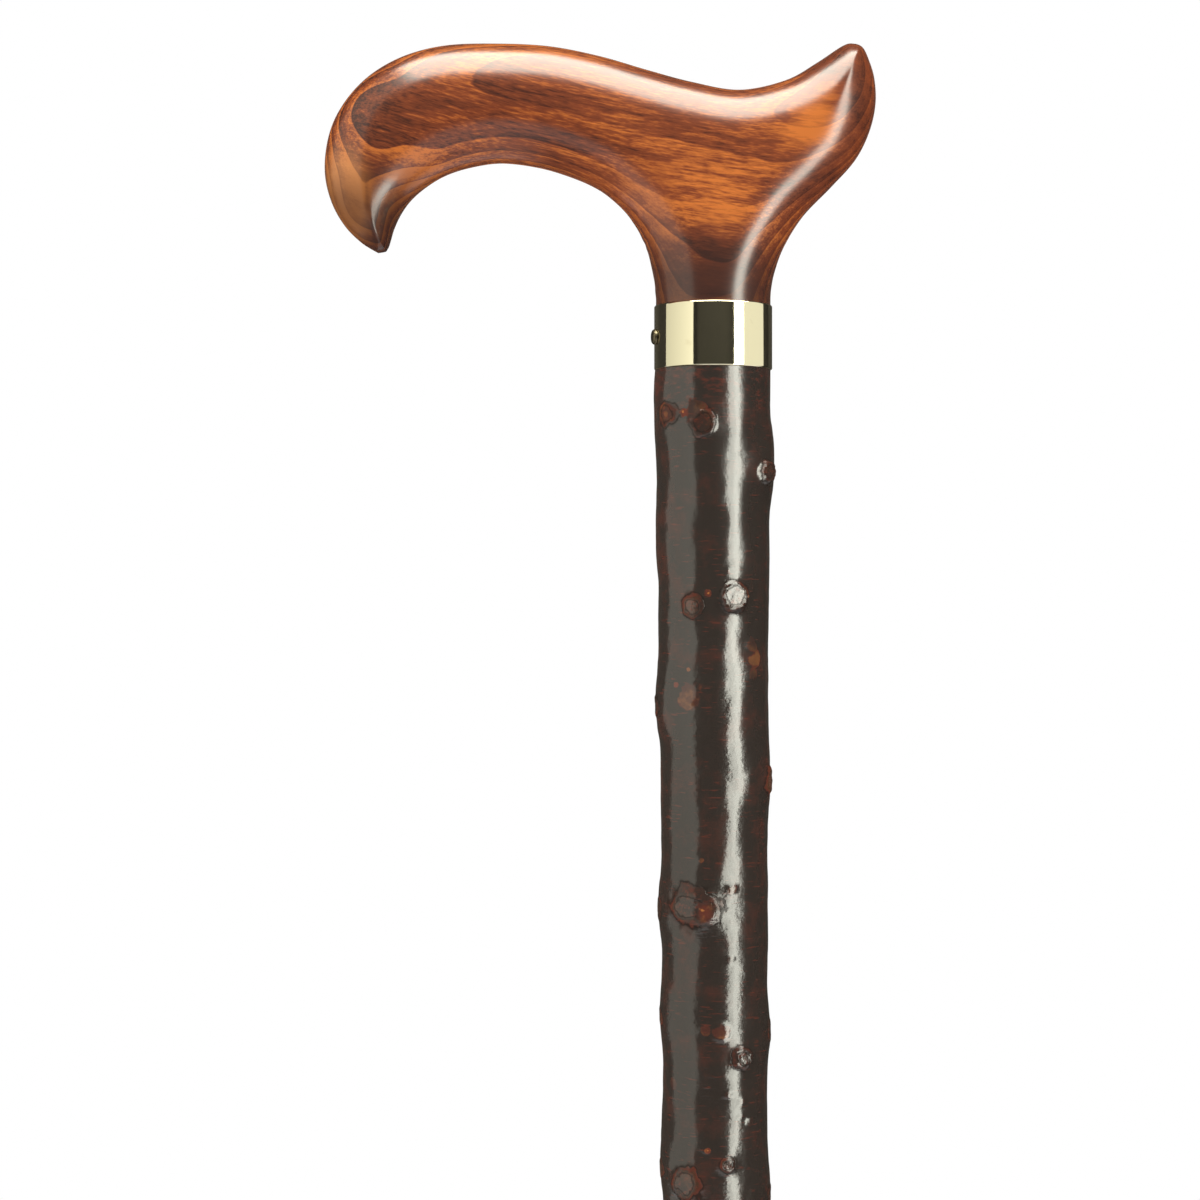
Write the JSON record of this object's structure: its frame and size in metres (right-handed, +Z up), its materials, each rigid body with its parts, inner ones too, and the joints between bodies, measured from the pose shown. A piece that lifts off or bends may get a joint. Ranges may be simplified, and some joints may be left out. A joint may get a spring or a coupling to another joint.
{
  "type": "walking stick",
  "caption": "Knotty blackthorn walking stick with a hooked derby handle, a brass collar and a rubber ferrule, used to lean on while walking.",
  "frame": {"origin": "centre of the ferrule's bottom face, where the stick meets the ground", "axes": "+Z up along the shaft, -X towards the nose of the handle, -Y towards the front that the picture shows"},
  "size_m": [0.1285, 0.036, 0.914],
  "materials": {
    "handle_wood": "stained and gloss varnished hardwood with grain along the grip",
    "steel": "plain bright steel",
    "collar_brass": "polished brass",
    "pin_brass": "dulled brass",
    "blackthorn": "dark bark under gloss varnish, with red-brown knots",
    "rubber": "matt black rubber"
  },
  "bodies": {
    "stick": {"handle": "handle_wood", "joining_stud": "steel", "collar": "collar_brass", "collar_pin": "pin_brass", "shaft": "blackthorn"},
    "ferrule": {"ferrule": "rubber", "ferrule_washer": "steel"}
  },
  "joints": [
    {"name": "ferrule_pull", "type": "slide", "parent": "stick", "child": "ferrule", "axis": [0, 0, -1], "range_m": [0, 0.04]}
  ]
}
